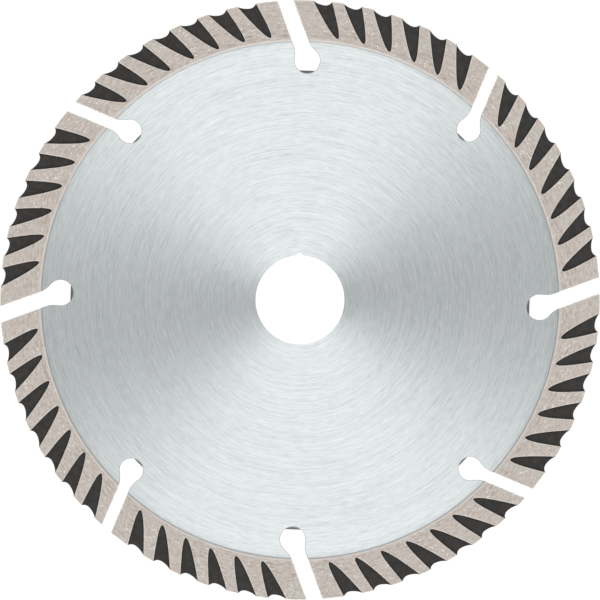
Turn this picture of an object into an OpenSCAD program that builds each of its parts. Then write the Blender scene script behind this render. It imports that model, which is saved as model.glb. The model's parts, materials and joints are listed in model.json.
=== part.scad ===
// Segmented diamond blade for an angle grinder, for masonry and concrete.
//
// The blade lies flat. The origin is the centre of its arbor bore, halfway through the steel,
// and +Z runs along the bore axis. The index notch of the bore points to +Y.
//
// A flat steel core carries eight sintered segments. The core has a slot between each two
// segments, and each slot ends in a round gullet. Wide and narrow slots take turns. A segment
// has two sintered layers: a foot without diamonds, which can be welded, and the diamond
// layer, which cuts. A laser weld runs along each foot on both faces of the core.
//
// Angles are in degrees, clockwise from +Y as seen from above, and sizes are in millimetres.

/* [Blade] */
// Diameter over the segments
blade_d = 150; // [146:1:154]
// Thickness of the steel core
core_t = 1.6; // [1.2:0.1:1.8]

/* [Arbor] */
// Diameter of the arbor bore
bore_d = 22.23; // [16:0.01:25.4]
// Width of the index notch at the bore's wall
notch_w = 1.8; // [1:0.1:3]
// Depth of the index notch beyond the bore's wall
notch_depth = 0.6; // [0.3:0.1:1.2]

/* [Segments] */
// Thickness of the segments, which is the width of the cut
kerf_t = 2.4; // [2.2:0.1:3]
// Height of a segment, with its foot
segment_h = 10; // [9:0.5:11]
// Height of the foot without diamonds
foot_h = 1; // [0.6:0.1:1.2]
// Width of the weld along each foot, on the core's face
weld_w = 0.4; // [0.2:0.05:0.6]
// Depth to which the weld is fused into the core's edge
weld_root = 0.2; // [0.1:0.05:0.4]

/* [Slots] */
// Distance from the blade's centre to each slot's centre line
slot_offset = 22.22; // [20:0.5:24]
// Width of the wide slots
wide_slot_w = 3.88; // [3:0.02:4.2]
// Radius of the gullets under the wide slots
wide_gullet_r = 3.2; // [2.8:0.1:3.4]
// Width of the narrow slots
narrow_slot_w = 2.88; // [2:0.02:3.4]
// Radius of the gullets under the narrow slots
narrow_gullet_r = 2.95; // [2.4:0.05:3.2]
// Radius of the curve that leads a slot into its gullet
slot_blend_r = 6; // [4:0.5:8]
// Thickness of the thinned ledge that closes the inner end of a gullet
ledge_t = 0.5; // [0.3:0.1:0.8]

/* [Recesses] */
// Depth of the recesses in each face of a segment
recess_depth = 0.5; // [0.2:0.1:0.8]
// Angle from one recess to the next
recess_pitch = 5.79; // [5.7:0.01:5.85]
// Lean of a recess, against the clock, from its tip outwards
recess_lean = 30.3; // [25:0.1:33]
// Depth of the dip in the rim at each recess
dip_depth = 1; // [0.4:0.1:1.2]

/* [Hidden] */
$fn = 96;

steel_grey = [0.80, 0.82, 0.83];
weld_grey = [0.58, 0.60, 0.62];
matrix_sand = [0.74, 0.70, 0.66];
foot_sand = [0.78, 0.74, 0.70];

rim_r = blade_d / 2;
seam_r = rim_r - segment_h;
foot_r = seam_r + foot_h;
far_r = rim_r + 10;
cut_over = 1;
// Height of the weld on the foot's wall, which stands proud of the core
weld_h = 0.85 * (kerf_t - core_t) / 2;

// The slots come in pairs, one wide and one narrow, and a pair takes a quarter of the blade.
quarters = 4;
quarter_angle = 360 / quarters;
// Every slot leans against the clock from the radius through the gullet
slot_turn = 20;
// The narrow slot of a pair comes this far after the wide one
narrow_after = 43;
// Distance of a gullet's centre along its slot, from the foot of the slot's normal
gullet_along = seam_r - 9.3;
// Radius, from the blade's centre, of the straight edge of a gullet's ledge
ledge_edge_r = seam_r - 7.55;
// How far a ledge is rooted in the steel round its gullet
ledge_root = 0.4;
// The blend curves cross the slot's wall and the gullet by this much, so they don't only touch
blend_bite = 0.004;

// Tip of a recess, from the radius at its angle: sideways, and out from the foot
tip_side = 0.15;
tip_out = 0.01;
// A recess is a parabola: its half width is spread * sqrt(distance from the tip)
recess_spread = 0.661;
recess_run = 12.5;
recess_steps = 14;
first_after_wide = 8.16;
first_after_narrow = 48.81;
recesses_after_wide = 6;
recesses_after_narrow = 7;

// The dip in the rim is lowest at this angle from the recess's tip. A wide arc leads down to
// it and a tight one leads up from it.
dip_angle = -3.3;
dip_lean = 1.3;
dip_wide_r = 5.8;
dip_tight_r = 1.85;

// Turns what is drawn at +Y clockwise, as seen from above.
module clockwise(angle) {
    rotate([0, 0, -angle]) children();
}

// Extrudes a flat shape equally above and below the middle of the core.
module plate(thickness) {
    translate([0, 0, -thickness / 2]) linear_extrude(height = thickness) children();
}

// Places a slot of one pair: it is drawn along +Y, its gullet's centre on the origin.
module at_slot(index) {
    turn = floor(index / 2) * quarter_angle + (index % 2) * narrow_after - slot_turn;
    clockwise(turn) translate([slot_offset, gullet_along]) children();
}

function slot_w(index) = index % 2 == 0 ? wide_slot_w : narrow_slot_w;
function gullet_r(index) = index % 2 == 0 ? wide_gullet_r : narrow_gullet_r;

// One side of the curve between a slot's wall and its gullet.
module slot_blend(half_w, round_r) {
    side = half_w + slot_blend_r;
    along = sqrt(pow(round_r + slot_blend_r, 2) - side * side);
    difference() {
        polygon([[0, 0], [side, along], [0, along]]);
        translate([side, along]) circle(r = slot_blend_r + blend_bite);
    }
}

// A slot with its gullet, both open to the rim.
module slot_outline(width, round_r) {
    circle(r = round_r);
    translate([-width / 2, 0]) square([width, far_r - gullet_along]);
    slot_blend(width / 2, round_r);
    mirror([1, 0]) slot_blend(width / 2, round_r);
}

module all_slots() {
    for (i = [0 : 2 * quarters - 1]) {
        at_slot(i) slot_outline(slot_w(i), gullet_r(i));
    }
}

// Angle from the blade's centre to a slot's gullet.
function gullet_angle(index) =
    floor(index / 2) * quarter_angle + (index % 2) * narrow_after
    - slot_turn + atan2(slot_offset, gullet_along);

// The thin ledge that fills the inner end of a gullet up to a straight edge.
module gullet_ledge(index) {
    rooted_r = gullet_r(index) + ledge_root;
    plate(ledge_t) intersection() {
        at_slot(index) circle(r = rooted_r);
        clockwise(gullet_angle(index)) translate([-rooted_r, 0]) square([2 * rooted_r, ledge_edge_r]);
    }
}

// The index notch: a tooth shape with a narrower flat end, on top of the bore.
module index_notch() {
    bore_r = bore_d / 2;
    foot_half = notch_w / 2;
    polygon([
        [-foot_half, bore_r - cut_over],
        [foot_half, bore_r - cut_over],
        [foot_half, sqrt(bore_r * bore_r - foot_half * foot_half)],
        [0.45 * foot_half, bore_r + notch_depth],
        [-0.45 * foot_half, bore_r + notch_depth],
        [-foot_half, sqrt(bore_r * bore_r - foot_half * foot_half)]
    ]);
}

// Half of a section through the core. Its edge is bevelled where the welds are fused to it.
module core_section() {
    half_t = core_t / 2;
    polygon([
        [bore_d / 2, -half_t],
        [seam_r - weld_w, -half_t],
        [seam_r, weld_root - half_t],
        [seam_r, half_t - weld_root],
        [seam_r - weld_w, half_t],
        [bore_d / 2, half_t]
    ]);
}

module core() {
    color(steel_grey) {
        difference() {
            rotate_extrude() core_section();
            plate(core_t + 2 * cut_over) index_notch();
            plate(core_t + 2 * cut_over) all_slots();
        }
        for (i = [0 : 2 * quarters - 1]) gullet_ledge(i);
    }
}

// A point on the centre line of slot i, at a distance from the gullet's centre along it.
function slot_point(index, along) =
    let (
        turn = slot_turn - floor(index / 2) * quarter_angle - (index % 2) * narrow_after,
        x = slot_offset,
        y = gullet_along + along
    )
    [x * cos(turn) - y * sin(turn), x * sin(turn) + y * cos(turn)];

// The part of a ring between the centre lines of slot i and the next slot.
module ring_part(index, inner_r, outer_r) {
    start_in = slot_point(index, 0);
    start_out = slot_point(index, far_r - gullet_along);
    end_in = slot_point(index + 1, 0);
    end_out = slot_point(index + 1, far_r - gullet_along);
    difference() {
        intersection() {
            circle(r = outer_r);
            polygon([start_in, start_out, 1.2 * (start_out + end_out) / 2, end_out, end_in]);
        }
        circle(r = inner_r);
        at_slot(index) slot_outline(slot_w(index), gullet_r(index));
        at_slot(index + 1) slot_outline(slot_w(index + 1), gullet_r(index + 1));
    }
}

// Angles of the recess tips on the segment after slot i.
function tip_angles(index) =
    let (
        first = index % 2 == 0 ? first_after_wide : first_after_narrow,
        count = index % 2 == 0 ? recesses_after_wide : recesses_after_narrow
    )
    [for (k = [0 : count - 1]) first + floor(index / 2) * quarter_angle + k * recess_pitch];

// The parabola of a recess: one side from the tip out, and the other side back.
function recess_side(side) =
    [for (k = [1 : recess_steps])
        let (run = recess_run * pow(k / recess_steps, 2))
        [side * recess_spread * sqrt(run), run]];

function reversed(list) = [for (k = [len(list) - 1 : -1 : 0]) list[k]];

module recess_outline() {
    translate([tip_side, foot_r + tip_out]) rotate([0, 0, recess_lean])
        polygon(concat([[0, 0]], recess_side(1), reversed(recess_side(-1))));
}

// The dip in the rim beside a recess: a wide arc on one side and a tight arc on the other.
module rim_dip() {
    low_r = rim_r - dip_depth;
    clockwise(dip_angle) translate([0, low_r]) clockwise(dip_lean) {
        intersection() {
            translate([0, dip_wide_r]) circle(r = dip_wide_r);
            translate([-2 * dip_wide_r, 0]) square([2 * dip_wide_r, dip_wide_r]);
        }
        intersection() {
            translate([0, dip_tight_r]) circle(r = dip_tight_r);
            square([2 * dip_tight_r, dip_tight_r]);
        }
        translate([0, dip_tight_r]) square([dip_tight_r, dip_wide_r - dip_tight_r]);
    }
}

module diamond_segment(index) {
    color(matrix_sand)
    difference() {
        plate(kerf_t) difference() {
            ring_part(index, foot_r, rim_r);
            for (angle = tip_angles(index)) clockwise(angle) rim_dip();
        }
        for (angle = tip_angles(index)) clockwise(angle) {
            translate([0, 0, kerf_t / 2 - recess_depth])
                linear_extrude(height = recess_depth + cut_over) recess_outline();
            translate([0, 0, -kerf_t / 2 - cut_over])
                linear_extrude(height = recess_depth + cut_over) recess_outline();
        }
    }
}

module segment_foot(index) {
    color(foot_sand) plate(kerf_t) ring_part(index, seam_r, foot_r);
}

// Section of the weld on the upper face: it fills the corner of the foot and the core's bevel.
module weld_section() {
    base = core_t / 2;
    polygon([
        [seam_r - weld_w, base],
        [seam_r, base - weld_root],
        [seam_r, base + weld_h],
        [seam_r - 0.4 * weld_w, base + 0.72 * weld_h],
        [seam_r - 0.78 * weld_w, base + 0.36 * weld_h]
    ]);
}

// The weld runs along the whole foot, on both faces.
module weld_seam(index) {
    color(weld_grey)
    intersection() {
        rotate_extrude() {
            weld_section();
            mirror([0, 1]) weld_section();
        }
        plate(kerf_t) ring_part(index, seam_r - 2 * weld_w, seam_r);
    }
}

core();

diamond_segment(0);  // diamond_segment_1
diamond_segment(1);  // diamond_segment_2
diamond_segment(2);  // diamond_segment_3
diamond_segment(3);  // diamond_segment_4
diamond_segment(4);  // diamond_segment_5
diamond_segment(5);  // diamond_segment_6
diamond_segment(6);  // diamond_segment_7
diamond_segment(7);  // diamond_segment_8

segment_foot(0);  // segment_foot_1
segment_foot(1);  // segment_foot_2
segment_foot(2);  // segment_foot_3
segment_foot(3);  // segment_foot_4
segment_foot(4);  // segment_foot_5
segment_foot(5);  // segment_foot_6
segment_foot(6);  // segment_foot_7
segment_foot(7);  // segment_foot_8

weld_seam(0);  // weld_seam_1
weld_seam(1);  // weld_seam_2
weld_seam(2);  // weld_seam_3
weld_seam(3);  // weld_seam_4
weld_seam(4);  // weld_seam_5
weld_seam(5);  // weld_seam_6
weld_seam(6);  // weld_seam_7
weld_seam(7);  // weld_seam_8
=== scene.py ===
import json
import math
import random

import bmesh
import bpy
import numpy as np
from mathutils import Matrix, Vector, noise
from mathutils.geometry import delaunay_2d_cdt
from mathutils.kdtree import KDTree


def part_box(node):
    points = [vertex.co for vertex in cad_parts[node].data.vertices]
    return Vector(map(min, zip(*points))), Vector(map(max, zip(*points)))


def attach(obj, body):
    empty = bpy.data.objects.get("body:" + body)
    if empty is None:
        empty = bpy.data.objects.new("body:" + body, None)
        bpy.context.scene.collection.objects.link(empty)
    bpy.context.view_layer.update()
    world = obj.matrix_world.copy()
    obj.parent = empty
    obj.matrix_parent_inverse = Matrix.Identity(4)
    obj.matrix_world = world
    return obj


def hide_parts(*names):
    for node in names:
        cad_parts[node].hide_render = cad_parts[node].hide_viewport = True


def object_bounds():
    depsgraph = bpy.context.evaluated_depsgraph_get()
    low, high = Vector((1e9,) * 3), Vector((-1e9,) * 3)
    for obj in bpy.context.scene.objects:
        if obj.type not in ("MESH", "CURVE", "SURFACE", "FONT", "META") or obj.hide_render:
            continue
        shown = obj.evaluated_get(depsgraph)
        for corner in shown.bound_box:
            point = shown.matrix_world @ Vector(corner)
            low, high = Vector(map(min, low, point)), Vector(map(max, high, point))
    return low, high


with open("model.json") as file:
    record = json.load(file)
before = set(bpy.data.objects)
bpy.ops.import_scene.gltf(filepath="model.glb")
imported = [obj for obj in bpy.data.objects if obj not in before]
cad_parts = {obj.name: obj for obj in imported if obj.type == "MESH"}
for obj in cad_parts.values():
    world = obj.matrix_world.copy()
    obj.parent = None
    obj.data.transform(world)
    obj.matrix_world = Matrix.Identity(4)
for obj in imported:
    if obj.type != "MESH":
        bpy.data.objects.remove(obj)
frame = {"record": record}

cad_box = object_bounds()

# Lengths below are in millimetres and angles in degrees, clockwise from +Y as seen from +Z.
MM = 0.001
MOUNTS = {m["name"]: m for m in frame["record"]["mounts"]}
CORE_LOW, CORE_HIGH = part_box("core")

RIM_R = round((cad_box[1].x - cad_box[0].x) / 2 / MM, 1)
KERF_T = round((cad_box[1].z - cad_box[0].z) / MM, 2)
CORE_T = round((CORE_HIGH.z - CORE_LOW.z) / MM, 2)
BORE_R = MOUNTS["arbor_bore"]["dims"]["r_mm"]
SEGMENT_H = 10.0
FOOT_H = 1.0
SEAM_R = RIM_R - SEGMENT_H
FOOT_R = SEAM_R + FOOT_H
NOTCH_HALF_W = 0.9
NOTCH_DEPTH = 0.6

# Slots come in pairs, a wide one and a narrow one, and a pair takes a quarter of the blade.
SLOT_COUNT = 8
QUARTER = 90.0
SLOT_TURN = 20.0
NARROW_AFTER = 43.0
SLOT_OFFSET = 22.22
GULLET_ALONG = SEAM_R - 9.3
SLOT_HALF_W = (1.94, 1.44)
GULLET_R = (3.2, 2.95)
BLEND_R = 6.0
LEDGE_EDGE_R = SEAM_R - 7.55
LEDGE_T = 0.5

# A recess is a parabola that leans against the clock, and the rim dips where it meets it.
RECESS_DEPTH = 0.5
RECESS_PITCH = 5.79
RECESS_LEAN = 30.3
RECESS_SPREAD = 0.661
TIP_SIDE = 0.15
TIP_OUT = 0.01
FIRST_TIP = (8.16, 48.81)
TIP_COUNT = (6, 7)
DIP_DEPTH = 1.0
DIP_ANGLE = -3.3
DIP_LEAN = 1.3
DIP_WIDE_R = 5.8
DIP_TIGHT_R = 1.85

# The weld's bead, and the bevel that it leaves at the edge of the core
WELD_W = 0.4
WELD_H = 0.34
WELD_ROOT = 0.2
RIPPLE_PITCH = 0.45
RIPPLE_H = 0.02
SWELL_H = 0.03

# Small edges, as ground or left by the laser. A recess's edge is a share of the land's.
LAND_EDGE = 0.05
RECESS_EDGE_SHARE = 0.4
FOOT_BEVEL = 0.28
SLOT_EDGE = 0.10
BORE_EDGE = 0.07
# The wall of a gullet's ledge: share of the way out to its straight edge, and height
LEDGE_PROFILE = ((0.12, 0.5), (0.45, 0.34), (1.0, LEDGE_T / 2))

# Spacing of the points along the edges, and of those on the flat faces
CORE_STEP = 0.2
SEAM_STEP = 0.5
CORE_GRID = 2.0
RECESS_GRID = 0.5
PAINT_STEP = 0.3
PAINT_GRID = 0.7
WELD_STEP = 0.08
GRIT_STEP = 0.5
GRAIN_STEP = 0.18
# Depth of the row of points in the middle of a recess's wall
RECESS_MIDDLE = 0.24
# Rows of points down a segment's outer wall, as shares of the height of its recesses' floors
WALL_ROWS = (1, 0.7, 0.4, 0.1, -0.2, -0.5, -0.8, -1)
# Rows of points down a foot's wall, below its face
FOOT_ROWS = (0.4, 0.8)
# Points closer than this are one vertex
SAME_PLACE = 2e-4

# Sintered metal: how far grains and pores move its surface, and the size and number of pores
GRAIN_H = 0.014
GRAIN_SCALES = (1.4, 4.1)
FINE_GRAIN_SHARE = 0.8
PORE_H = 0.06
PORE_R = (0.10, 0.24)
PORES_ON_SEGMENT = 60
PORES_ON_FOOT = 12

# Diamonds: their sizes, numbers and groups, how deep the centre of one lies as a share of its
# size, and how far one stays from an edge
SEED = 22
GRIT_SIZE = (0.38, 0.54)
GRIT_ON_FACE = 80
GRIT_ON_RIM = 26
GRIT_GROUPS = (1, 1, 2, 4, 6)
GROUP_SPREAD = 0.9
GRIT_SUNK_ON_FACE = (0.16, 0.3)
GRIT_SUNK_ON_RIM = 0.2
GRIT_FROM_EDGE = 0.2
# Width across opposite corners of a cubo-octahedron whose corners are at 0 and +-1
CUBO_WIDTH = 2.83

# Rings of the paint film: inset from the recess's wall, inset from the rim, height at the
# wall (from the face where it is below 0, else from the floor), height at the rim
PAINT_ROWS = (
    (-0.01, 0.02, 0.0, 0.0),
    (-0.01, 0.02, -0.055, 0.02),
    (0.02, 0.04, -0.065, 0.03),
    (0.02, 0.04, 0.13, 0.03),
    (0.04, 0.05, 0.06, 0.03),
    (0.06, 0.05, 0.03, 0.03),
)

# Angles above which an edge is shaded as sharp
SHARP_ANGLE = 40.0
CORE_SHARP_ANGLE = 20.0
GRIT_SHARP_ANGLE = 20.0
SINTERED_SHARP_ANGLE = 60.0

# Colours, linear
CORE_LIGHT = (0.905, 0.95, 0.952, 1)
CORE_DARK = (0.60, 0.638, 0.64, 1)
# Painted shade, bluish, on the core beside the segments' feet
SEAM_SHADE_TINT = (0.87, 0.89, 0.905, 1)
# Painted shade for the gullets' ledges and the slots' rounded edges, lighter near the faces and
# darker deeper in
LEDGE_SHADE_LIGHT = (0.42, 0.43, 0.43, 1)
LEDGE_SHADE_DARK = (0.16, 0.16, 0.16, 1)
WELD_GREY = (0.62, 0.61, 0.595, 1)
WELD_STRAW = (0.63, 0.585, 0.525, 1)
# Also the colour of the painted shade along the weld's toe
WELD_DARK = (0.30, 0.30, 0.31, 1)
SANDY = (0.63, 0.582, 0.535, 1)
PINK = (0.645, 0.567, 0.514, 1)
GREEN_GREY = (0.56, 0.54, 0.50, 1)
LIGHT_GRAIN = (0.93, 0.89, 0.85, 1)
PORE_DARK = (0.29, 0.22, 0.175, 1)
# A painted highlight along the edges of the segments and feet and on the feet's bevels: its colour,
# strength and reach
EDGE_HIGHLIGHT = (0.88, 0.84, 0.79, 1)
EDGE_HIGHLIGHT_SHARE = 0.6
EDGE_HIGHLIGHT_REACH = 0.16
PAINT_DARK = (0.025, 0.0232, 0.0213, 1)
PAINT_LIGHT = (0.0385, 0.0355, 0.0325, 1)
GRIT_PALE = (0.97, 0.95, 0.90, 1)
GRIT_YELLOW = (0.92, 0.88, 0.76, 1)
WHITE = (1, 1, 1, 1)

# Turns the anisotropy by 90 degrees, so that highlights fan out as on circular scratches
BRUSH_TURN = 0.25

# The white floor under the blade, in metres
FLOOR_HALF_W = 3.0
FLOOR_GAP = 0.0003
FLOOR_COLOUR = (0.25, 0.25, 0.25, 1)
FLOOR_GLOW = 0.86

# Light: the studio is brightest towards +Y and -Y, turned a little, and darker to the sides.
# The tilt makes the +Y side dimmer than the -Y side, and the sky dims towards the horizon.
BRIGHT_ANGLE = -5.0
SKY_BRIGHT = 1.58
SKY_DARK = 0.0
SKY_TOP = 0.92
SKY_TILT = 0.5
SKY_LOW = 0.35

# Camera: a long lens, and the picture's width over the blade's diameter
LENS = 800
SENSOR_W = 36
PICTURE_SHARE = 1.0008


# ---------------------------------------------------------------- flat geometry

def direction(angle):
    """The unit vector at an angle clockwise from +Y."""
    a = math.radians(angle)
    return np.array([math.sin(a), math.cos(a)])


def clockwise(points, angle):
    """Turns points by an angle clockwise, as seen from +Z."""
    a = math.radians(angle)
    turn = np.array([[math.cos(a), -math.sin(a)], [math.sin(a), math.cos(a)]])
    return np.asarray(points, float) @ turn


def arc(centre, radius, start, end, step):
    """Points of an arc from angle start to angle end, both clockwise from +Y, ends included."""
    count = max(2, int(abs(math.radians(end - start)) * radius / step) + 1)
    angles = np.radians(np.linspace(start, end, count))
    return np.asarray(centre, float) + radius * np.stack([np.sin(angles), np.cos(angles)], 1)


def line(start, end, step):
    """Points of a straight line, ends included."""
    start, end = np.asarray(start, float), np.asarray(end, float)
    count = max(2, int(np.linalg.norm(end - start) / step) + 1)
    return start + (end - start) * np.linspace(0, 1, count)[:, None]


def joined(*runs):
    """One run of points from several, without the points that repeat at the joins."""
    points = [p for run in runs for p in run]
    kept = [points[0]]
    for p in points[1:]:
        if np.linalg.norm(p - kept[-1]) > 1e-6:
            kept.append(p)
    return np.array(kept)


def angle_of(point):
    """A point's angle clockwise from +Y."""
    return math.degrees(math.atan2(point[0], point[1]))


def slot_turn(index):
    """The angle by which a slot's own frame is turned."""
    return (index // 2) * QUARTER + (index % 2) * NARROW_AFTER - SLOT_TURN


def from_slot(points, index):
    """Places points given in a slot's own frame: +Y along the slot, origin in its gullet."""
    moved = np.asarray(points, float).reshape(-1, 2) + [SLOT_OFFSET, GULLET_ALONG]
    return clockwise(moved, slot_turn(index))


def wall_point(index, side, radius):
    """Where a slot's wall, on side -1 or 1, meets a circle round the blade's centre."""
    x = SLOT_OFFSET + side * SLOT_HALF_W[index % 2]
    return clockwise([[x, math.sqrt(radius * radius - x * x)]], slot_turn(index))[0]


def gullet_run(index, step):
    """The edge of a slot and its gullet in the core, from its left wall to its right one."""
    half_w, round_r = SLOT_HALF_W[index % 2], GULLET_R[index % 2]
    side = half_w + BLEND_R
    along = math.sqrt((round_r + BLEND_R) ** 2 - side * side)
    meet = math.degrees(math.atan2(side, along))
    left = joined(
        arc([-side, along], BLEND_R, 90, 180 - meet, step),
        arc([0, 0], round_r, -meet, -180, step),
    )
    right = left[::-1] * [-1, 1]
    inner = from_slot(joined(left, right), index)
    clear_of_weld = np.linalg.norm(inner, axis=1) < SEAM_R - WELD_W - 0.1
    inner = inner[clear_of_weld]
    return joined([wall_point(index, -1, SEAM_R)], inner, [wall_point(index, 1, SEAM_R)])


def bore_outline(step):
    """The bore with its index notch, clockwise from the notch."""
    base = math.sqrt(BORE_R**2 - NOTCH_HALF_W**2)
    corner = math.degrees(math.asin(NOTCH_HALF_W / BORE_R))
    top = BORE_R + NOTCH_DEPTH
    notch = joined(
        line([-NOTCH_HALF_W, base], [-0.45 * NOTCH_HALF_W, top], step),
        line([-0.45 * NOTCH_HALF_W, top], [0.45 * NOTCH_HALF_W, top], step),
        line([0.45 * NOTCH_HALF_W, top], [NOTCH_HALF_W, base], step),
    )
    return joined(notch, arc([0, 0], BORE_R, corner, 360 - corner, step))[:-1]


def crossing(curve, low, high, radius):
    """The value between low and high at which a curve is on a circle round the blade's centre."""
    outward = np.linalg.norm(curve(high)) > np.linalg.norm(curve(low))
    for _ in range(40):
        middle = (low + high) / 2
        outside = np.linalg.norm(curve(middle)) > radius
        if outside == outward:
            high = middle
        else:
            low = middle
    return (low + high) / 2


def dip_point(turn):
    """A point of the rim's dip beside a recess whose tip is at +Y; turn is 0 at its lowest."""
    radius = DIP_WIDE_R if turn < 0 else DIP_TIGHT_R
    local = [radius * math.sin(turn), radius - radius * math.cos(turn)]
    low = clockwise([local], DIP_LEAN) + [0, RIM_R - DIP_DEPTH]
    return clockwise(low, DIP_ANGLE)[0]


def dip_run(step):
    """The dip from its left corner on the rim to its right one."""
    start = crossing(dip_point, -1.2, 0, RIM_R)
    end = crossing(dip_point, 0, 1.2, RIM_R)
    left = np.linspace(start, 0, int(-start * DIP_WIDE_R / step) + 2)
    right = np.linspace(0, end, int(end * DIP_TIGHT_R / step) + 2)
    return joined([dip_point(t) for t in left], [dip_point(t) for t in right])


def recess_point(t):
    """A point of a recess's edge; t is 0 at the tip, below 0 on the left side."""
    side, run = RECESS_SPREAD * t, t * t
    tip = np.array([TIP_SIDE, FOOT_R + TIP_OUT])
    return tip + clockwise([[side, run]], -RECESS_LEAN)[0]


def recess_run(corners, step):
    """The edge of a recess from its left corner on the rim to the tip and out to the right one."""
    sides = []
    for sign, corner in zip((-1, 1), corners):
        end = crossing(lambda t: recess_point(sign * t), 0.5, 4, RIM_R)
        count = int(end * end / step) + 3
        shares = np.linspace(0, 1, count) ** 0.75
        miss = corner - recess_point(sign * end)
        sides.append([recess_point(sign * end * s) + miss * s**4 for s in shares])
    return joined(sides[0][::-1], sides[1])


def segment_runs(index, step):
    """The edge of a segment as (kind, points), clockwise: slot wall, rim, slot wall, foot."""
    pair, kind = index // 2, index % 2
    dip = dip_run(step)
    recess = recess_run((dip[0], dip[-1]), step)
    runs = [("wall", line(wall_point(index, 1, FOOT_R), wall_point(index, 1, RIM_R), step))]
    at = angle_of(runs[0][1][-1])
    for k in range(TIP_COUNT[kind]):
        tip = FIRST_TIP[kind] + pair * QUARTER + k * RECESS_PITCH
        edges = clockwise(dip, tip), clockwise(recess, tip)
        stop = at + (angle_of(edges[0][0]) - at) % 360
        runs.append(("wall", arc([0, 0], RIM_R, at, stop, step)))
        runs.append(("recess", edges))
        at = angle_of(edges[0][-1])
    far_wall = line(wall_point(index + 1, -1, RIM_R), wall_point(index + 1, -1, FOOT_R), step)
    stop = at + (angle_of(far_wall[0]) - at) % 360
    runs.append(("wall", arc([0, 0], RIM_R, at, stop, step)))
    runs.append(("wall", far_wall))
    back = angle_of(far_wall[-1])
    start = back - (back - angle_of(runs[0][1][0])) % 360
    runs.append(("foot", arc([0, 0], FOOT_R, back, start, step)))
    return runs


def loop_of(runs, reach):
    """A closed loop from runs (points, reach of the inset along them), and the inset per edge."""
    points, reaches = [], []
    for run, distance in runs:
        points.extend(run[:-1])
        reaches.extend([distance] * (len(run) - 1))
    return np.array(points), np.array(reaches) * reach


def inset(points, reaches):
    """Moves a clockwise loop inwards, each edge by its own distance."""
    edges = np.roll(points, -1, 0) - points
    edges /= np.linalg.norm(edges, axis=1)[:, None]
    after = np.stack([edges[:, 1], -edges[:, 0]], 1)
    before = np.roll(after, 1, 0)
    a, b = np.roll(reaches, 1), reaches
    cross = before[:, 0] * after[:, 1] - before[:, 1] * after[:, 0]
    # Where the edges at a point are nearly in line, it moves straight off them. Elsewhere it
    # moves to where both moved edges cross, but from a sharp corner only so far.
    flat = np.abs(cross) < 0.15
    safe = np.where(flat, 1, cross)
    x = (a * after[:, 1] - b * before[:, 1]) / safe
    y = (b * before[:, 0] - a * after[:, 0]) / safe
    straight = (before + after) / 2 * ((a + b) / 2)[:, None]
    move = np.where(flat[:, None], straight, np.stack([x, y], 1))
    far = np.linalg.norm(move, axis=1)
    limit = 2.5 * np.maximum(np.abs(a), np.abs(b)) + 1e-9
    move = move * np.minimum(1, limit / np.maximum(far, 1e-9))[:, None]
    return unfolded(points + move, edges)


def unfolded(points, edges):
    """Draws together the ends of each edge of a loop that an inset has turned round."""
    points = points.copy()
    for _ in range(60):
        steps = np.roll(points, -1, 0) - points
        turned_round = np.nonzero((steps * edges).sum(1) < -1e-9)[0]
        if not len(turned_round):
            break
        for k in turned_round:
            after = (k + 1) % len(points)
            points[k] = points[after] = (points[k] + points[after]) / 2
    return points


def inside(points, loop):
    """Which points lie inside a closed loop."""
    x, y = points[:, 0], points[:, 1]
    found = np.zeros(len(points), bool)
    for (ax, ay), (bx, by) in zip(loop, np.roll(loop, -1, 0)):
        if ay == by:
            continue
        spans = (ay > y) != (by > y)
        found ^= spans & (x < (bx - ax) * (y - ay) / (by - ay) + ax)
    return found


def nearest(points, others):
    """Distance from each point to the nearest of the others."""
    tree = KDTree(len(others))
    for k, p in enumerate(others):
        tree.insert((p[0], p[1], 0), k)
    tree.balance()
    return np.array([tree.find((p[0], p[1], 0))[2] for p in points])


def hexagonal(low, high, step):
    """Points of a grid of equal triangles over a rectangle."""
    rows = np.arange(low[1], high[1], step * math.sqrt(0.75))
    columns = np.arange(low[0], high[0], step)
    x, y = np.meshgrid(columns, rows)
    x = x + step / 2 * (np.arange(len(rows)) % 2)[:, None]
    return np.stack([x.ravel(), y.ravel()], 1)


# ---------------------------------------------------------------- meshes

def at_height(points, height):
    """Points in space from flat ones, at one height or at a height for each."""
    return np.column_stack([points, np.zeros(len(points)) + height])


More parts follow.
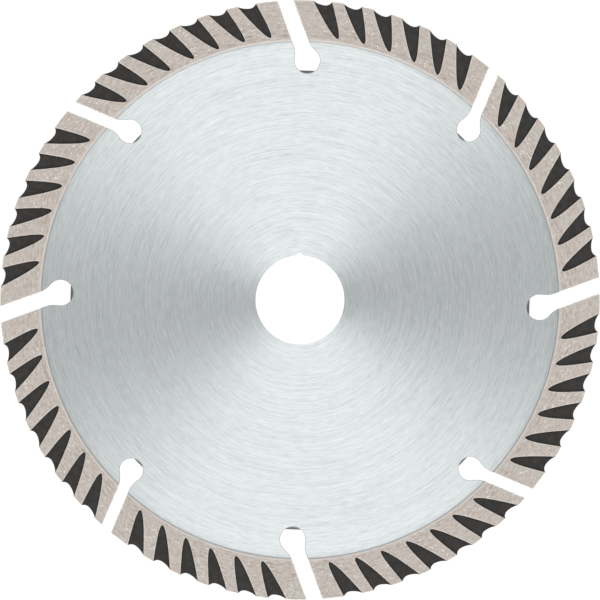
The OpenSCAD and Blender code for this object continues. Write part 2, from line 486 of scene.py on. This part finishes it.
class Shell:
    """A mesh in millimetres. Points in the same place become one vertex."""

    def __init__(self):
        self.points, self.faces, self.kinds = [], [], []
        self.size = 0

    def add(self, points, faces, kind=0):
        """Adds faces over new points. Their kind is one for all, or a list of one for each."""
        self.points.append(np.asarray(points, float))
        self.faces.extend([[v + self.size for v in face] for face in faces])
        self.kinds.extend(kind if isinstance(kind, list) else [kind] * len(faces))
        self.size += len(points)

    def band(self, rings, kind=0):
        """Joins closed rings with the same number of points, one after the other, with quads."""
        n = len(rings[0])
        faces = []
        for r in range(len(rings) - 1):
            for k in range(n):
                a, b = r * n + k, r * n + (k + 1) % n
                faces.append([a, b, b + n, a + n])
        self.add(np.concatenate(rings), faces, kind)

    def cap(self, loops, heights, step):
        """Fills the first loop, less the other loops, with a flat triangle grid, at each height."""
        outer = loops[0]
        grid = hexagonal(outer.min(0), outer.max(0), step)
        grid = grid[inside(grid, outer)]
        for hole in loops[1:]:
            grid = grid[~inside(grid, hole)]
        grid = grid[nearest(grid, np.concatenate(loops)) > 0.6 * step]
        edges, count = [], 0
        for loop in loops:
            n = len(loop)
            edges.extend((count + k, count + (k + 1) % n) for k in range(n))
            count += n
        given = np.concatenate([*loops, grid])
        result = delaunay_2d_cdt([Vector(p) for p in given], edges, [], 1, 1e-7)
        # The triangulation rounds its points, so each one goes back to the point it came from.
        sources = zip(result[0], result[3])
        points = np.array([given[own[0]] if own else tuple(p) for p, own in sources])
        faces = np.array(result[2])
        for hole in loops[1:]:
            faces = faces[~inside(points[faces].mean(1), hole)]
        for height in heights:
            self.add(at_height(points, height), faces.tolist())

    def merged(self):
        """(points, faces, kinds) with one vertex at each place and no empty faces."""
        points = np.concatenate(self.points)
        keys = np.round(points / SAME_PLACE).astype(np.int64)
        _, first, group = np.unique(keys, axis=0, return_index=True, return_inverse=True)
        group = group.ravel()
        faces, kinds = [], []
        for face, kind in zip(self.faces, self.kinds):
            corners = list(dict.fromkeys(group[face].tolist()))
            if len(corners) > 2:
                faces.append(corners)
                kinds.append(kind)
        return points[first], faces, kinds


def make_object(name, body, materials, nodes=(), sharp=SHARP_ANGLE):
    """A mesh object from a merged shell. It rides on the blade and has outward faces."""
    points, faces, kinds = body
    mesh = bpy.data.meshes.new(name)
    mesh.from_pydata((np.asarray(points) * MM).tolist(), [], faces)
    mesh.polygons.foreach_set("material_index", kinds)
    for m in materials:
        mesh.materials.append(m)
    tidy = bmesh.new()
    tidy.from_mesh(mesh)
    bmesh.ops.recalc_face_normals(tidy, faces=tidy.faces)
    if tidy.calc_volume(signed=True) < 0:
        bmesh.ops.reverse_faces(tidy, faces=tidy.faces)
    tidy.to_mesh(mesh)
    tidy.free()
    mesh.shade_smooth()
    mesh.set_sharp_from_angle(angle=math.radians(sharp))
    obj = bpy.data.objects.new(name, mesh)
    bpy.context.scene.collection.objects.link(obj)
    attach(obj, "root")
    if nodes:
        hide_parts(*nodes)
    return obj


# ---------------------------------------------------------------- materials

def add(tree, kind, settings=None, **inputs):
    """Adds a shader node. Inputs are named with _ for a space and take a value or a socket."""
    node = tree.nodes.new(kind)
    for key, value in (settings or {}).items():
        setattr(node, key, value)
    for key, value in inputs.items():
        plug(tree, node.inputs[key.replace("_", " ")], value)
    return node


def plug(tree, socket, value):
    """Links a socket to the input, or sets the input to a plain value."""
    if isinstance(value, bpy.types.NodeSocket):
        tree.links.new(value, socket)
    else:
        socket.default_value = value


def calc(tree, operation, *values):
    """The result of a Math node."""
    node = tree.nodes.new("ShaderNodeMath")
    node.operation = operation
    for socket, value in zip(node.inputs, values):
        plug(tree, socket, value)
    return node.outputs[0]


def blend(tree, share, first, second, mode="MIX"):
    """Mixes two colours."""
    node = tree.nodes.new("ShaderNodeMix")
    node.data_type = "RGBA"
    node.blend_type = mode
    plug(tree, node.inputs[0], share)
    plug(tree, node.inputs[6], first)
    plug(tree, node.inputs[7], second)
    return node.outputs[2]


def fade(tree, value, low, high, to_low=0.0, to_high=1.0):
    """Maps a value from low..high to to_low..to_high, smoothly, and stops at the ends."""
    node = tree.nodes.new("ShaderNodeMapRange")
    node.interpolation_type = "SMOOTHSTEP"
    for socket, setting in zip(node.inputs, (value, low, high, to_low, to_high)):
        plug(tree, socket, setting)
    return node.outputs[0]


def noise_of(tree, place, scale, detail=2.0, rough=0.5):
    """The value of a Noise texture."""
    settings = {"Scale": scale, "Detail": detail, "Roughness": rough}
    return add(tree, "ShaderNodeTexNoise", Vector=place, **settings).outputs["Fac"]


def new_material(name):
    """A material with only its output and a Principled shader: (material, tree, shader)."""
    material = bpy.data.materials.new(name)
    material.use_nodes = True
    tree = material.node_tree
    return material, tree, tree.nodes["Principled BSDF"]


def place_in_mm(tree):
    """The place on the object in millimetres, and its x, y, z and distance from the axis."""
    coordinates = add(tree, "ShaderNodeTexCoord").outputs["Object"]
    operation = {"operation": "SCALE"}
    scaled = add(tree, "ShaderNodeVectorMath", operation, Vector=coordinates, Scale=1 / MM)
    split = add(tree, "ShaderNodeSeparateXYZ", Vector=scaled.outputs[0])
    x, y, z = split.outputs
    squares = calc(tree, "ADD", calc(tree, "MULTIPLY", x, x), calc(tree, "MULTIPLY", y, y))
    return scaled.outputs[0], x, y, z, calc(tree, "SQRT", squares)


def scratches(tree, x, y, z, radius, length, width):
    """Noise that is drawn out along circles round the bore, in streaks of a length and width."""
    place = add(
        tree, "ShaderNodeCombineXYZ",
        X=calc(tree, "DIVIDE", x, length),
        Y=calc(tree, "DIVIDE", y, length),
        Z=calc(tree, "ADD", calc(tree, "DIVIDE", radius, width), calc(tree, "MULTIPLY", z, 9.0)),
    )
    return noise_of(tree, place.outputs[0], 1.0, 3.0, 0.6)


def bump(tree, shader, height, distance):
    """Gives a shader fine relief of a height from 0 to 1 times a distance in metres."""
    node = add(tree, "ShaderNodeBump", Height=height, Distance=distance, Strength=1.0)
    tree.links.new(node.outputs[0], shader.inputs["Normal"])


def brushed_core():
    """Steel ground in circles: scratches of several widths, and a faint painted shade, darker and
    bluish, beside the welds.
    """
    material, tree, shader = new_material("core_steel")
    _, x, y, z, radius = place_in_mm(tree)
    fine = scratches(tree, x, y, z, radius, 5.0, 0.09)
    short = scratches(tree, x, y, z, radius, 2.4, 0.17)
    clear = scratches(tree, x, y, z, radius, 15.0, 0.2)
    single = scratches(tree, x, y, z, radius, 18.0, 0.15)
    broad = scratches(tree, x, y, z, radius, 24.0, 1.6)
    half_short = calc(tree, "MULTIPLY", short, 0.5)
    drawn = calc(tree, "ADD", half_short, calc(tree, "MULTIPLY", clear, 0.5))
    colour = blend(tree, fade(tree, drawn, 0.36, 0.64), CORE_DARK, CORE_LIGHT)
    colour = blend(tree, fade(tree, fine, 0.4, 0.6, 0.0, 0.4), colour, CORE_LIGHT)
    colour = blend(tree, fade(tree, broad, 0.35, 0.65, 0.0, 0.2), colour, CORE_LIGHT)
    colour = blend(tree, fade(tree, single, 0.6, 0.72), colour, WHITE)
    # Painted shade: the core darkens a little towards the welds
    seam_shade = fade(tree, radius, SEAM_R - 1.8, SEAM_R - 0.5, 0.0, 0.5)
    colour = blend(tree, seam_shade, colour, SEAM_SHADE_TINT, "MULTIPLY")
    plug(tree, shader.inputs["Base Color"], colour)
    shader.inputs["Metallic"].default_value = 1.0
    plug(tree, shader.inputs["Roughness"], fade(tree, clear, 0.25, 0.75, 0.44, 0.52))
    shader.inputs["Anisotropic"].default_value = 0.92
    shader.inputs["Anisotropic Rotation"].default_value = BRUSH_TURN
    tangent = add(tree, "ShaderNodeTangent", {"direction_type": "RADIAL", "axis": "Z"})
    tree.links.new(tangent.outputs[0], shader.inputs["Tangent"])
    bump(tree, shader, drawn, 0.004 * MM)
    return material


def ledge_steel():
    """The thinned ledges in the gullets and the rounded edges of the slots: unground steel, with
    painted shade that darkens it deeper in.
    """
    material, tree, shader = new_material("ledge_steel")
    place, _, _, z, _ = place_in_mm(tree)
    grain = noise_of(tree, place, 4.0, 4.0)
    # Painted shade: darker the deeper a point lies below the face
    deep = fade(tree, calc(tree, "ABSOLUTE", z), LEDGE_T / 2, CORE_T / 2)
    colour = blend(tree, deep, LEDGE_SHADE_DARK, LEDGE_SHADE_LIGHT)
    colour = blend(tree, fade(tree, grain, 0.35, 0.7, 0.0, 0.3), colour, LEDGE_SHADE_DARK)
    plug(tree, shader.inputs["Base Color"], colour)
    shader.inputs["Metallic"].default_value = 0.6
    shader.inputs["Roughness"].default_value = 0.55
    bump(tree, shader, grain, 0.02 * MM)
    return material


def weld_steel():
    """A laser weld: dull grey with a straw tint here and there, and a painted shade that darkens it
    along its toe.
    """
    material, tree, shader = new_material("weld_steel")
    place, _, _, _, radius = place_in_mm(tree)
    patch = noise_of(tree, place, 0.5, 3.0)
    grain = noise_of(tree, place, 7.0, 3.0)
    colour = blend(tree, fade(tree, patch, 0.4, 0.65), WELD_GREY, WELD_STRAW)
    colour = blend(tree, fade(tree, grain, 0.45, 0.75, 0.0, 0.4), colour, WELD_DARK)
    # Painted shade: darker along the steep inner toe of the bead
    toe = fade(tree, radius, SEAM_R - WELD_W, SEAM_R - 0.5 * WELD_W, 0.75, 0.0)
    colour = blend(tree, toe, colour, WELD_DARK)
    plug(tree, shader.inputs["Base Color"], colour)
    shader.inputs["Metallic"].default_value = 0.5
    plug(tree, shader.inputs["Roughness"], fade(tree, grain, 0.3, 0.7, 0.42, 0.58))
    bump(tree, shader, grain, 0.01 * MM)
    return material


def sintered(name):
    """A sintered metal: mottled grains, pores darkened by painted shade, ground streaks and a pale
    painted highlight along its edges.
    """
    material, tree, shader = new_material(name)
    place, x, y, z, radius = place_in_mm(tree)
    large = noise_of(tree, place, 0.45, 3.0, 0.55)
    small = noise_of(tree, place, 0.9, 4.0, 0.6)
    specks = scratches(tree, x, y, z, radius, 1.0, 0.46)
    grains = noise_of(tree, place, 7.0, 3.0, 0.65)
    streak = scratches(tree, x, y, z, radius, 2.6, 0.28)
    colour = blend(tree, fade(tree, large, 0.42, 0.58), SANDY, PINK)
    colour = blend(tree, fade(tree, small, 0.47, 0.66, 0.0, 0.9), colour, GREEN_GREY)
    colour = blend(tree, fade(tree, specks, 0.28, 0.48, 0.36, 0.0), colour, PORE_DARK)
    colour = blend(tree, fade(tree, specks, 0.52, 0.74, 0.0, 0.6), colour, LIGHT_GRAIN)
    colour = blend(tree, fade(tree, grains, 0.32, 0.7, 0.2, 0.0), colour, PORE_DARK)
    inwards = fade(tree, radius, FOOT_R + 2.0, FOOT_R + 5.0, 0.75, 0.38)
    ground = calc(tree, "MULTIPLY", fade(tree, streak, 0.53, 0.7), inwards)
    colour = blend(tree, ground, colour, PORE_DARK)
    edge = add(tree, "ShaderNodeAttribute", {"attribute_name": "edge"}).outputs["Fac"]
    pore = add(tree, "ShaderNodeAttribute", {"attribute_name": "pore"}).outputs["Fac"]
    # Painted highlight: paler along the edges
    colour = blend(tree, calc(tree, "MULTIPLY", edge, EDGE_HIGHLIGHT_SHARE), colour, EDGE_HIGHLIGHT)
    # Painted shade: darker in the sunk pores
    colour = blend(tree, calc(tree, "MULTIPLY", pore, 0.8), colour, PORE_DARK)
    plug(tree, shader.inputs["Base Color"], colour)
    shader.inputs["Metallic"].default_value = 0.25
    plug(tree, shader.inputs["Roughness"], fade(tree, grains, 0.3, 0.7, 0.55, 0.75))
    height = calc(tree, "ADD", grains, calc(tree, "MULTIPLY", streak, -0.4))
    bump(tree, shader, height, 0.03 * MM)
    return material


def recess_black():
    """Matt black paint that was left in the recesses when the faces were ground."""
    material, tree, shader = new_material("recess_paint")
    place = place_in_mm(tree)[0]
    cloud = noise_of(tree, place, 0.8, 4.0)
    specks = noise_of(tree, place, 9.0, 2.0)
    colour = blend(tree, fade(tree, cloud, 0.35, 0.65), PAINT_DARK, PAINT_LIGHT)
    plug(tree, shader.inputs["Base Color"], colour)
    plug(tree, shader.inputs["Roughness"], fade(tree, specks, 0.3, 0.7, 0.5, 0.64))
    shader.inputs["Specular IOR Level"].default_value = 0.3
    bump(tree, shader, specks, 0.012 * MM)
    return material


def diamond():
    """Synthetic diamond grit: pale yellow and a little cloudy."""
    material, tree, shader = new_material("diamond_grit")
    place = place_in_mm(tree)[0]
    cloud = noise_of(tree, place, 3.0, 2.0)
    colour = blend(tree, fade(tree, cloud, 0.4, 0.6), GRIT_PALE, GRIT_YELLOW)
    plug(tree, shader.inputs["Base Color"], colour)
    shader.inputs["Roughness"].default_value = 0.22
    shader.inputs["IOR"].default_value = 2.0
    shader.inputs["Coat Weight"].default_value = 0.4
    shader.inputs["Coat Roughness"].default_value = 0.1
    return material


# ---------------------------------------------------------------- pieces

def mirrored(rings):
    """Rings from the top down, followed by the same rings below the middle of the blade."""
    below = [ring * [1, 1, -1] for ring in rings[::-1]]
    return [*rings, *below]


def edge_rows(points, reaches, top, drop):
    """The rings of a rounded edge: the face, the round and the wall's top."""
    full = inset(points, reaches) - points
    return [
        at_height(points + full, top),
        at_height(points + 0.3 * full, top - 0.3 * drop),
        at_height(points, top - drop),
    ]


def core_loop():
    """The core's outer edge, clockwise, and how far its faces' edge is set in along it."""
    runs = []
    for index in range(SLOT_COUNT):
        slot = gullet_run(index, CORE_STEP)
        start = angle_of(slot[-1])
        stop = start + (angle_of(wall_point(index + 1, -1, SEAM_R)) - start) % 360
        runs.append((slot, SLOT_EDGE))
        runs.append((arc([0, 0], SEAM_R, start, stop, SEAM_STEP), WELD_W))
    return loop_of(runs, 1.0)


def ledge_shift(points):
    """How far the wall of each gullet moves, at half depth, to the straight edge of its ledge."""
    shift = np.zeros_like(points)
    for index in range(SLOT_COUNT):
        centre = from_slot([0, 0], index)[0]
        outward = centre / np.linalg.norm(centre)
        gap = LEDGE_EDGE_R - points @ outward
        near = np.linalg.norm(points - centre, axis=1) < GULLET_R[index % 2] + 0.05
        shift += outward * np.where(near & (gap > 0), gap, 0)[:, None]
    return shift


def core_shell():
    """The steel plate, with bevels under the welds and a thinned ledge in each gullet."""
    points, reaches = core_loop()
    top = CORE_T / 2
    on_seam = np.linalg.norm(points, axis=1) > SEAM_R - 0.001
    drop = np.where(on_seam, WELD_ROOT, SLOT_EDGE)
    shift = ledge_shift(points)
    rows = [at_height(inset(points, reaches), top), at_height(points, top - drop)]
    for share, height in LEDGE_PROFILE:
        rows.append(at_height(points + share * shift, height))
    rows = mirrored(rows)
    on_ledge = np.any(shift != 0, axis=1)
    ledge = (on_ledge & np.roll(on_ledge, -1)).astype(int).tolist()
    # The rounded edges of the slots take the ledge's material, and with it its painted shade
    slot_edge = (reaches == SLOT_EDGE).astype(int).tolist()
    inner_bands = len(rows) - 3
    shell = Shell()
    shell.band(rows, kind=slot_edge + inner_bands * ledge + slot_edge)
    bore = bore_outline(CORE_STEP)
    bore_rows = edge_rows(bore, np.full(len(bore), -BORE_EDGE), top, BORE_EDGE)
    shell.band(mirrored(bore_rows))
    shell.cap([rows[0][:, :2], bore_rows[0][:, :2]], (top, -top), CORE_GRID)
    return shell


def recess_loop(dip, recess):
    """The closed outline of a recess: along the dip, then back round the tip."""
    return np.concatenate([dip[:-1], recess[:0:-1]])


def off_the_foot(ring, reaches):
    """Keeps the rounded edge of a recess's tip from crossing the border with the foot."""
    radii = np.linalg.norm(ring[:, :2], axis=1)
    push = np.maximum(1, (FOOT_R + 0.5 * TIP_OUT) / radii)
    ring[:, :2] *= np.where(reaches > 0, push, 1)[:, None]


def segment_shell(index):
    """A diamond segment: (shell, the points of its edges with a painted highlight, the loop round
    its land).
    """
    land, full, recesses = [], [], []
    for kind, run in segment_runs(index, GRAIN_STEP):
        if kind == "recess":
            dip, recess = run
            land.append((recess, RECESS_EDGE_SHARE))
            full.append((dip, 0))
            recesses.append(recess_loop(dip, recess))
        else:
            land.append((run, 0 if kind == "foot" else 1))
            full.append((run, 0))
    points, reaches = loop_of(land, LAND_EDGE)
    top, low = KERF_T / 2, KERF_T / 2 - RECESS_DEPTH
    upper = edge_rows(points, reaches, top, LAND_EDGE)
    for ring in upper:
        off_the_foot(ring, reaches)
    upper += [at_height(points, z) for z in (top - RECESS_MIDDLE, low)]
    shell = Shell()
    shell.band(upper)
    shell.band([ring * [1, 1, -1] for ring in upper])
    outline = loop_of(full, 0)[0]
    shell.band([at_height(outline, low * share) for share in WALL_ROWS])
    shell.cap([upper[0][:, :2]], (top, -top), GRAIN_STEP)
    for loop in recesses:
        shell.cap([loop], (low, -low), RECESS_GRID)
    return shell, points[reaches > 0], upper[0][:, :2]


def paint_rings(dip, recess):
    """The rings of the paint film in one recess: up its back at the wall, and down its front."""
    top, low = KERF_T / 2, KERF_T / 2 - RECESS_DEPTH
    loop = recess_loop(dip, recess)
    on_dip = np.arange(len(loop)) < len(dip) - 1
    # The dip's first point is also the end of the recess's wall.
    walled = ~on_dip
    walled[0] = True
    rings = []
    for at_wall, at_rim, wall_z, rim_z in PAINT_ROWS:
        flat = inset(loop, np.where(on_dip, at_rim, at_wall))
        start = top if wall_z < 0 else low
        rings.append(at_height(flat, np.where(walled, start + wall_z, low + rim_z)))
    return rings


def paint_shell(index):
    """The paint in a segment's recesses: a film on the floor that climbs the walls."""
    shell = Shell()
    for kind, run in segment_runs(index, PAINT_STEP):
        if kind != "recess":
            continue
        rings = paint_rings(*run)
        for side in (1, -1):
            shell.band([ring * [1, 1, side] for ring in rings])
        for ring in (rings[0], rings[-1]):
            shell.cap([ring[:, :2]], (ring[1, 2], -ring[1, 2]), PAINT_GRID)
    return shell


def foot_shell(index):
    """The foot of a segment: (shell, the points of its edges with a painted highlight). The weld's
    side is bevelled.
    """
    start, end = wall_point(index, 1, SEAM_R), wall_point(index + 1, -1, FOOT_R)
    near = line(start, wall_point(index, 1, FOOT_R), GRAIN_STEP)
    far = line(end, wall_point(index + 1, -1, SEAM_R), GRAIN_STEP)
    first, last = angle_of(near[-1]), angle_of(far[0])
    outer = arc([0, 0], FOOT_R, first, first + (last - first) % 360, GRAIN_STEP)
    back, begin = angle_of(far[-1]), angle_of(start)
    inner = arc([0, 0], SEAM_R, back, back - (back - begin) % 360, GRAIN_STEP)
    runs = [(near, LAND_EDGE), (outer, 0), (far, LAND_EDGE), (inner, FOOT_BEVEL)]
    points, reaches = loop_of(runs, 1.0)
    top = KERF_T / 2
    rows = edge_rows(points, reaches, top, LAND_EDGE)
    rows += [at_height(points, top - depth) for depth in FOOT_ROWS]
    shell = Shell()
    shell.band(mirrored(rows))
    shell.cap([rows[0][:, :2]], (top, -top), GRAIN_STEP)
    # The bevel is as wide as FOOT_BEVEL, so its painted highlight is centred a little outside the
    # seam.
    on_seam = np.linalg.norm(points, axis=1) < SEAM_R + 0.001
    return shell, np.concatenate([points[reaches > 0], 1.002 * points[on_seam]])


def weld_shell(index):
    """The laser weld of a segment on both faces: a rippled bead in the corner at the foot."""
    shares = np.linspace(0, 1, 8)
    radii = [*(SEAM_R - WELD_W * (1 - shares)), SEAM_R]
    heights = [*(CORE_T / 2 + WELD_H * np.sin(shares * math.pi / 2) ** 0.9), CORE_T / 2 - WELD_ROOT]
    starts = np.array([angle_of(wall_point(index, 1, r)) for r in radii])
    ends = np.array([angle_of(wall_point(index + 1, -1, r)) for r in radii])
    ends = starts + (ends - starts) % 360
    length = math.radians(ends[0] - starts[0]) * SEAM_R
    ripple = np.append(np.sin(math.pi * shares), 0)
    late = np.append(shares, 0) * 1.4
    rings = []
    for share in np.linspace(0, 1, int(length / WELD_STEP)):
        angles = np.radians(starts + (ends - starts) * share)
        wave = np.sin(2 * math.pi * share * length / RIPPLE_PITCH - late)
        slow = noise.noise(Vector((share * length / 3, index * 7.3, 0)))
        z = np.array(heights) + ripple * (RIPPLE_H * wave + SWELL_H * slow)
        rings.append(np.column_stack([radii * np.sin(angles), radii * np.cos(angles), z]))
    shell = Shell()
    fan = list(range(len(radii)))
    for side in (1, -1):
        flipped = [ring * [1, 1, side] for ring in rings]
        shell.band(flipped)
        shell.add(flipped[0], [fan])
        shell.add(flipped[-1], [fan])
    return shell


def cubo_octahedron():
    """The usual shape of diamond grit: (corners, faces), with corners at 0 and +-1."""
    corners, faces = [], []
    for axis in range(3):
        for a in (1, -1):
            for b in (1, -1):
                corner = [a, b]
                corner.insert(axis, 0)
                corners.append(corner)
    corners = np.array(corners, float)
    for signs in np.array(np.meshgrid([1, -1], [1, -1], [1, -1])).reshape(3, -1).T:
        faces.append([k for k, c in enumerate(corners) if c @ signs == 2])
    for axis in range(3):
        first, second = [a for a in range(3) if a != axis]
        for sign in (1, -1):
            around = [k for k, c in enumerate(corners) if c[axis] == sign]
            around.sort(key=lambda k: math.atan2(corners[k][first], corners[k][second]))
            faces.append(around)
    return corners, faces


def crystal(shell, place, size, chance):
    """Adds a diamond that is turned and stretched at random."""
    corners, faces = cubo_octahedron()
    angle = chance.uniform(0, 6.28)
    axis = Vector((chance.gauss(0, 1), chance.gauss(0, 1), 1))
    turn = Matrix.Rotation(angle, 3, axis)
    stretch = np.array([chance.uniform(0.85, 1.15) for _ in range(3)])
    shell.add(place + (corners * stretch * size / CUBO_WIDTH) @ np.array(turn), faces)


def face_spots(start, span, land, chance):
    """Places for diamonds in a segment's face: in small groups, and clear of its edges."""
    spots = []
    while len(spots) < GRIT_ON_FACE:
        middle = chance.uniform(FOOT_R, RIM_R) * direction(start + chance.uniform(0, 1) * span)
        for _ in range(chance.choice(GRIT_GROUPS)):
            spots.append(middle + [chance.gauss(0, GROUP_SPREAD), chance.gauss(0, GROUP_SPREAD)])
    spots = np.array(spots)
    spots = spots[inside(spots, land)]
    return spots[nearest(spots, land) > GRIT_FROM_EDGE]


def grit_shell(index, land, chance):
    """Diamonds that show in a segment's faces, its rim and its slot walls."""
    shell = Shell()
    runs = segment_runs(index, GRIT_STEP)
    start, end = angle_of(runs[0][1][0]), angle_of(runs[-2][1][0])
    span = (end - start) % 360
    top = KERF_T / 2
    for side in (1, -1):
        for spot in face_spots(start, span, land, chance):
            size = chance.uniform(*GRIT_SIZE)
            z = side * (top - size * chance.uniform(*GRIT_SUNK_ON_FACE))
            crystal(shell, np.array([spot[0], spot[1], z]), size, chance)
    rim = np.concatenate([run for kind, run in runs if kind == "wall"])
    for _ in range(GRIT_ON_RIM):
        spot = rim[chance.randrange(len(rim))]
        size = chance.uniform(*GRIT_SIZE)
        depth = 1 - size * GRIT_SUNK_ON_RIM / np.linalg.norm(spot)
        z = chance.uniform(GRIT_FROM_EDGE - top, top - GRIT_FROM_EDGE)
        crystal(shell, np.array([spot[0] * depth, spot[1] * depth, z]), size, chance)
    return shell


def turned(body, angle):
    """Turns a merged shell clockwise about the blade's axis."""
    points, faces, kinds = body
    return np.column_stack([clockwise(points[:, :2], angle), points[:, 2]]), faces, kinds


def roughen(mesh, pores, chance):
    """Moves a sintered mesh's surface in and out by its grain, and sinks some pores in it."""
    count = len(mesh.vertices)
    points, normals = np.zeros(count * 3), np.zeros(count * 3, np.float32)
    mesh.vertices.foreach_get("co", points)
    mesh.vertex_normals.foreach_get("vector", normals)
    points, normals = points.reshape(-1, 3) / MM, normals.reshape(-1, 3)
    coarse, fine = GRAIN_SCALES
    grain = [
        noise.noise(Vector(p) * coarse) + FINE_GRAIN_SHARE * noise.noise(Vector(p) * fine)
        for p in points
    ]
    pore = np.zeros(count)
    for k in (chance.randrange(count) for _ in range(pores)):
        radius = chance.uniform(*PORE_R)
        far = np.linalg.norm(points - points[k], axis=1) / radius
        pore = np.maximum(pore, np.exp(-far**2) * chance.uniform(0.5, 1))
    move = GRAIN_H * np.array(grain) - PORE_H * pore
    points = points + normals * move[:, None]
    mesh.vertices.foreach_set("co", (points * MM).ravel())
    mark(mesh, "pore", pore)


def mark(mesh, name, values):
    """Stores one number for each vertex, for the material to read."""
    layer = mesh.attributes.new(name, "FLOAT", "POINT")
    layer.data.foreach_set("value", np.asarray(values, np.float32))


def edge_share(points, loop):
    """1 on the upper and lower edges along a loop, less and less away from them."""
    tree = KDTree(2 * len(loop))
    for k, p in enumerate(loop):
        tree.insert((p[0], p[1], KERF_T / 2), 2 * k)
        tree.insert((p[0], p[1], -KERF_T / 2), 2 * k + 1)
    tree.balance()
    far = np.array([tree.find(p)[2] for p in points])
    return np.exp(-((far / EDGE_HIGHLIGHT_REACH) ** 2))


# ---------------------------------------------------------------- assembly

def build_sintered(name, node, body, edge, material, pores, chance):
    """A roughened sintered piece. The start of its name is also its material slot."""
    obj = make_object(name, body, [material], [node], SINTERED_SHARP_ANGLE)
    roughen(obj.data, pores, chance)
    mark(obj.data, "edge", edge)


def build_segments(kind, materials, chance):
    """The four segments of one kind, with their feet, paint, welds and diamonds."""
    matrix, foot, paint, weld, grit = materials
    shell, edge_points, land = segment_shell(kind)
    body = shell.merged()
    edge = edge_share(body[0], edge_points)
    shell, edge_points = foot_shell(kind)
    foot_body = shell.merged()
    foot_edge = edge_share(foot_body[0], edge_points)
    film = paint_shell(kind).merged()
    for pair in range(SLOT_COUNT // 2):
        index = 2 * pair + kind
        number = index + 1
        angle = pair * QUARTER
        build_sintered(
            f"diamond_matrix_{number}", f"diamond_segment_{number}",
            turned(body, angle), edge, matrix, PORES_ON_SEGMENT, chance,
        )
        build_sintered(
            f"foot_matrix_{number}", f"segment_foot_{number}",
            turned(foot_body, angle), foot_edge, foot, PORES_ON_FOOT, chance,
        )
        make_object(f"recess_paint_{number}", turned(film, angle), [paint])
        bead = weld_shell(index).merged()
        make_object(f"weld_bead_{number}", bead, [weld], [f"weld_seam_{number}"])
        diamonds = grit_shell(index, clockwise(land, angle), chance).merged()
        make_object(
            f"diamond_grit_{number}", diamonds, [grit],
            sharp=GRIT_SHARP_ANGLE,
        )


def build_blade():
    """The core, and the segments of both kinds on it."""
    chance = random.Random(SEED)
    steel = [brushed_core(), ledge_steel()]
    weld, matrix, foot = weld_steel(), sintered("diamond_matrix"), sintered("foot_matrix")
    materials = matrix, foot, recess_black(), weld, diamond()
    core = core_shell().merged()
    make_object("core_plate", core, steel, ["core"], CORE_SHARP_ANGLE)
    for kind in (0, 1):
        build_segments(kind, materials, chance)


def build_floor():
    """A white floor just under the blade."""
    mesh = bpy.data.meshes.new("floor")
    low = cad_box[0].z - FLOOR_GAP
    signs = ((-1, -1), (1, -1), (1, 1), (-1, 1))
    corners = [(x * FLOOR_HALF_W, y * FLOOR_HALF_W, low) for x, y in signs]
    mesh.from_pydata(corners, [], [(0, 1, 2, 3)])
    floor = bpy.data.objects.new("floor", mesh)
    bpy.context.scene.collection.objects.link(floor)
    material, _, shader = new_material("floor")
    shader.inputs["Base Color"].default_value = FLOOR_COLOUR
    shader.inputs["Roughness"].default_value = 0.9
    shader.inputs["Emission Color"].default_value = WHITE
    shader.inputs["Emission Strength"].default_value = FLOOR_GLOW
    mesh.materials.append(material)


def share_along(tree, way, angle):
    """How much of a direction lies along a level one: (cosine, its square)."""
    axis = direction(angle)
    dot = add(tree, "ShaderNodeVectorMath", {"operation": "DOT_PRODUCT"}, Vector=way)
    dot.inputs[1].default_value = (axis[0], axis[1], 0)
    cosine = dot.outputs["Value"]
    return cosine, calc(tree, "MULTIPLY", cosine, cosine)


def build_light():
    """A soft studio: one bright band of sky over the blade, and dimmer sides."""
    world = bpy.data.worlds.new("studio")
    bpy.context.scene.world = world
    world.use_nodes = True
    tree = world.node_tree
    way = add(tree, "ShaderNodeTexCoord").outputs["Generated"]
    along, along_squared = share_along(tree, way, BRIGHT_ANGLE)
    _, across_squared = share_along(tree, way, BRIGHT_ANGLE + 90)
    # level is 1 at the horizon and 0 overhead, and share is 1 where the way is the bright one.
    level = calc(tree, "ADD", along_squared, across_squared)
    share = calc(tree, "DIVIDE", along_squared, calc(tree, "ADD", level, 0.0001))
    side = fade(tree, share, -0.21, 0.75, SKY_DARK, SKY_BRIGHT)
    tilt = calc(tree, "MULTIPLY", calc(tree, "MULTIPLY", along, level), SKY_TILT)
    side = calc(tree, "MULTIPLY", side, calc(tree, "SUBTRACT", 1.0, tilt))
    height = add(tree, "ShaderNodeSeparateXYZ", Vector=way).outputs["Z"]
    side = calc(tree, "MULTIPLY", side, fade(tree, height, 0.05, 0.5, SKY_LOW, 1.0))
    lean = fade(tree, level, 0.0, 0.6)
    overhead = calc(tree, "MULTIPLY", calc(tree, "SUBTRACT", 1.0, lean), SKY_TOP)
    sky = calc(tree, "ADD", calc(tree, "MULTIPLY", side, lean), overhead)
    background = tree.nodes["Background"]
    tree.links.new(sky, background.inputs["Strength"])
    background.inputs["Color"].default_value = WHITE


def build_camera():
    """Square on, from far away, with the blade's diameter filling the picture."""
    data = bpy.data.cameras.new("camera")
    data.lens, data.sensor_width = LENS, SENSOR_W
    data.clip_start, data.clip_end = 0.1, 20
    width = 2 * RIM_R * PICTURE_SHARE * MM
    height = KERF_T / 2 * MM + width * data.lens / data.sensor_width
    camera = bpy.data.objects.new("camera", data)
    camera.location = (0, 0, height)
    bpy.context.scene.collection.objects.link(camera)
    bpy.context.scene.camera = camera


build_blade()
build_floor()
build_light()
build_camera()
bpy.context.scene.view_settings.view_transform = "Standard"
